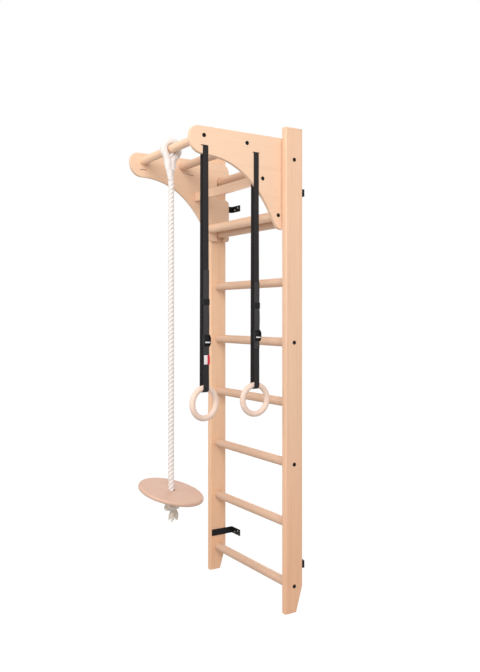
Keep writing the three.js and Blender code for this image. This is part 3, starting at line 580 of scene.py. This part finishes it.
# A flat band of the strap's width along a line in x and z, made a closed thin solid with softened selvedges
def band(name, points, middle, closed, width=strap_width, thickness=strap_thickness):
    bpy.ops.object.select_all(action="DESELECT")
    bpy.ops.mesh.primitive_circle_add(vertices=len(points), radius=1, location=(0, 0, 0))
    strip = started(name)
    for vertex, (x, z) in zip(strip.data.vertices, points):
        vertex.co = (x, middle - width / 2, z)
    if not closed:
        edit(strip, everything=False)
        leave()
        for edge in strip.data.edges:
            edge.select = set(edge.vertices) == {0, len(points) - 1}
        only(strip)
        bpy.ops.object.mode_set(mode="EDIT")
        bpy.ops.mesh.select_mode(type="EDGE")
        bpy.ops.mesh.delete(type="EDGE_FACE")
    edit(strip)
    bpy.ops.mesh.select_mode(type="VERT")
    bpy.ops.mesh.select_all(action="SELECT")
    bpy.ops.mesh.extrude_region_move(TRANSFORM_OT_translate={"value": (0, width, 0)})
    bpy.ops.mesh.select_all(action="SELECT")
    bpy.ops.mesh.normals_make_consistent(inside=False)
    leave()
    modify(strip, "SOLIDIFY", thickness=thickness, offset=0, use_even_offset=True)
    modify(strip, "BEVEL", width=0.0005, segments=2, limit_method="ANGLE", angle_limit=math.radians(50))
    smooth(strip, 40)
    return strip


def spread(start, end, count):
    return [tuple(a + (b - a) * i / count for a, b in zip(start, end)) for i in range(count)]


def round_turn(x, z, radius, start, end, count):
    turns = (math.radians(start + (end - start) * i / count) for i in range(count + 1))
    return [(x + radius * math.cos(t), z + radius * math.sin(t)) for t in turns]


# Rows of short raised stitches along lines in y and z on the outer face of a strap
def stitching(name, rows, face, body):
    stitches = []
    for (y, z), (far_y, far_z) in rows:
        along = math.hypot(far_y - y, far_z - z)
        count = max(2, round(along / 0.0034))
        for step in range(count):
            middle = (step + 0.5) / count
            bpy.ops.object.select_all(action="DESELECT")
            bpy.ops.mesh.primitive_uv_sphere_add(
                segments=8,
                ring_count=6,
                radius=1,
                location=(face, y + (far_y - y) * middle, z + (far_z - z) * middle),
                rotation=(math.atan2(far_y - y, far_z - z) * -1, 0, 0),
                scale=(0.0004, 0.0004, 0.0013),
            )
            stitch = started("stitch")
            settle(stitch)
            stitches.append(stitch)
    thread = joined(name, stitches)
    smooth(thread, 60)
    finish_piece(thread, stitch_thread, body, "webbing")


def ring_strap(which):
    middle = strap_places[which]
    bend = strap_bends[which]
    body = which + "_strap"
    loop = loop_radii[which]
    seat = slot_seat + strap_thickness / 2
    right, left = cheek_middle + leg_reach, cheek_middle - leg_reach
    corner = 0.0018
    line = [
        *round_turn(cheek_middle, ring_top, loop, 180, 360, 20)[:-1],
        *spread((cheek_middle + loop, ring_top), (right, bend), 60),
        *spread((right, bend), (right, seat - corner), 20),
        *round_turn(right - corner, seat - corner, corner, 0, 90, 5),
        *round_turn(left + corner, seat - corner, corner, 90, 180, 5),
        *spread((left, seat - corner), (left, bend), 20)[1:],
        *spread((left, bend), (cheek_middle - loop, ring_top), 60),
    ]
    strap = band(which + "_strap_piece", line, middle, True)
    strap.data.materials.clear()
    strap.data.materials.append(webbing)
    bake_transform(strap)
    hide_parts(which + "_strap_top_loop", which + "_strap_legs")

    # Free tail: up from the buckle, through the keeper and a little off the leg elsewhere
    low, keeper, high = buckle_heights[which] + 0.018, keeper_heights[which], tail_ends[which]
    tail_line = []
    for step in range(49):
        z = low + (high - low) * step / 48
        if z < keeper:
            slack = math.sin(math.pi * (z - low) / (keeper - low))
        else:
            slack = 0.7 * (z - keeper) / (high - keeper)
        tail_line.append((cheek_middle + leg_at(which, z) + strap_thickness + 0.0002 + 0.0022 * slack, z))
    tail = band(which + "_strap_tail", tail_line, middle, False)
    # The free tail takes the lighter webbing, a painted sheen
    finish_piece(tail, tail_webbing, body, "webbing")

    # Sewn fold under the buckle that holds it on the leg
    fold_high, fold_low = buckle_heights[which] - 0.019, buckle_heights[which] - 0.052
    fold_line = [
        (cheek_middle + leg_at(which, z) + strap_thickness + 0.0001, z)
        for z in (fold_low + (fold_high - fold_low) * step / 12 for step in range(13))
    ]
    fold = band(which + "_strap_fold", fold_line, middle, False)
    # The fold takes the lighter webbing too, a painted sheen
    finish_piece(fold, tail_webbing, body, "webbing")
    face = cheek_middle + leg_at(which, fold_low) + 1.5 * strap_thickness + 0.0002
    side, low_row, high_row = 0.009, fold_low + 0.003, fold_high - 0.004
    corners = [
        (middle - side, low_row),
        (middle + side, low_row),
        (middle + side, high_row),
        (middle - side, high_row),
    ]
    box = list(zip(corners, corners[1:] + corners[:1]))
    cross = [(corners[0], corners[2]), (corners[1], corners[3])]
    stitching(which + "_fold_stitches", box + cross, face, body)


# Plain two-colour cloth tab caught in the front strap's seam
def cloth_tab():
    middle, low, high = strap_places["front"], 1.037, 1.073
    for name, material, near, far in (
        ("tab_pale_half", pale_cloth, -0.0105, 0.0045),
        ("tab_red_half", red_cloth, 0.0045, 0.0150),
    ):
        face = cheek_middle + leg_at("front", low) + strap_thickness / 2 + 0.0002
        shares = [step / 8 for step in range(9)]
        tab_line = [
            (face + 0.0006 + 0.0004 * math.sin(math.pi * share), low + (high - low) * share)
            for share in shares
        ]
        tab = band(name, tab_line, middle + (near + far) / 2, False, far - near, 0.0009)
        finish_piece(tab, material, "front_strap", "webbing")


for which in both_straps:
    ring_strap(which)
cloth_tab()


# Rings turned from round stock
def turned_ring(which):
    bpy.ops.object.select_all(action="DESELECT")
    bpy.ops.mesh.primitive_torus_add(
        location=(cheek_middle, strap_places[which], ring_height),
        rotation=(0, math.pi / 2, ring_turns[which]),
        major_segments=96,
        minor_segments=32,
        major_radius=ring_bend_radius,
        minor_radius=ring_section_radius,
    )
    ring = started(which + "_ring_piece")
    settle(ring)
    smooth(ring, 60)
    finish_piece(ring, ring_beech, which + "_ring_swing", "ring_wood", which + "_ring")


for which in both_straps:
    turned_ring(which)


# Bright lip on the thumb plate of a cam lever
def lever_lip(which):
    axle = Vector(joint_places[which + "_cam_release"])
    lean = math.radians(35)
    down, out = Vector((math.sin(lean), 0, -math.cos(lean))), Vector((math.cos(lean), 0, math.sin(lean)))
    bpy.ops.object.select_all(action="DESELECT")
    bpy.ops.mesh.primitive_cube_add(
        size=1,
        location=axle + 0.0065 * down + 0.0017 * out,
        rotation=(0, -lean, 0),
        scale=(0.0012, 0.0225, 0.0062),
    )
    lip = started(which + "_lever_lip")
    settle(lip)
    modify(lip, "BEVEL", width=0.0005, segments=2)
    smooth(lip, 40)
    finish_piece(lip, bright_steel, which + "_cam", "bright_steel")


for which in both_straps:
    lever_lip(which)


# Ladder and pull-up frame
for node in sorted(frame["nodes"]):
    if node == "left_upright":
        # Left upright takes the lighter copy, painted light
        softened(node, left_upright_beech, "beech")
    elif node == "right_upright":
        softened(node, upright_beech, "beech")
    elif node.endswith("_cheek"):
        softened(node, cheek_ply, "plywood")
    # The rear grip bar takes the darker rung beech as painted shade
    elif node == "rear_grip_bar" or (node.startswith("rung_") and not node.endswith("bolt")):
        softened(node, rung_beech, "beech")
    # Front bar and stiffener take the lighter copy, painted light
    elif node == "stiffener_board" or node.endswith("_bar"):
        softened(node, bar_beech, "beech")
    elif node.endswith(("_bolt", "_screw_1", "_screw_2", "_wall_bracket", "_buckle_frame", "_cam_lever")):
        softened(node, black_steel, "black_steel")
    elif node.endswith("_keeper"):
        softened(node, keeper_rubber, "webbing", 0.0006)
    elif node == "disc_seat":
        softened(node, disc_ply, "disc_wood")


# Studio: pale floor, even white surroundings and three broad lamps
def studio():
    bpy.ops.object.select_all(action="DESELECT")
    bpy.ops.mesh.primitive_plane_add(size=30, location=(0, 0, 0))
    floor = started("floor")
    material, tree, shader, _ = nodes_of("floor_white")
    shader.inputs["Base Color"].default_value = (0.5, 0.5, 0.5, 1)
    shader.inputs["Roughness"].default_value = 0.9
    light_path = tree.nodes.new("ShaderNodeLightPath")
    glow = add(tree, "ShaderNodeEmission", Strength=1.07)
    share = tree.nodes.new("ShaderNodeMath")
    share.operation = "MULTIPLY"
    share.inputs[1].default_value = 0.92
    seen = tree.nodes.new("ShaderNodeMath")
    seen.operation = "MAXIMUM"
    tree.links.new(light_path.outputs["Is Camera Ray"], seen.inputs[0])
    tree.links.new(light_path.outputs["Is Glossy Ray"], seen.inputs[1])
    tree.links.new(seen.outputs[0], share.inputs[0])
    mix = tree.nodes.new("ShaderNodeMixShader")
    tree.links.new(share.outputs[0], mix.inputs[0])
    tree.links.new(shader.outputs[0], mix.inputs[1])
    tree.links.new(glow.outputs[0], mix.inputs[2])
    tree.links.new(mix.outputs[0], tree.nodes["Material Output"].inputs["Surface"])
    floor.data.materials.append(material)

    world = bpy.data.worlds.new("studio")
    world.use_nodes = True
    scene.world = world
    tree = world.node_tree
    sky = tree.nodes["Background"]
    sky.inputs["Color"].default_value = (1, 1, 1, 1)
    light_path = tree.nodes.new("ShaderNodeLightPath")
    seen = tree.nodes.new("ShaderNodeMath")
    seen.operation = "MAXIMUM"
    strength = tree.nodes.new("ShaderNodeMapRange")
    strength.inputs["To Min"].default_value = 0.62
    strength.inputs["To Max"].default_value = 1.0
    tree.links.new(light_path.outputs["Is Camera Ray"], seen.inputs[0])
    tree.links.new(light_path.outputs["Is Glossy Ray"], seen.inputs[1])
    tree.links.new(seen.outputs[0], strength.inputs["Value"])
    tree.links.new(strength.outputs[0], sky.inputs["Strength"])

    for name, place, aim, size, power in (
        ("key_lamp", (3.0, -2.0, 3.1), (0.1, -0.2, 1.6), 2.2, 101),
        ("fill_lamp", (0.2, -4.0, 3.0), (0, -0.2, 1.7), 2.4, 58),
        ("back_lamp", (-3.0, 2.2, 0.9), (0, -0.1, 1.1), 1.8, 42),
    ):
        data = bpy.data.lights.new(name, "AREA")
        data.size = size
        data.energy = power
        lamp = bpy.data.objects.new(name, data)
        scene.collection.objects.link(lamp)
        lamp.location = place
        lamp.rotation_euler = (Vector(aim) - Vector(place)).to_track_quat("-Z", "Y").to_euler()


studio()

bpy.context.view_layer.update()
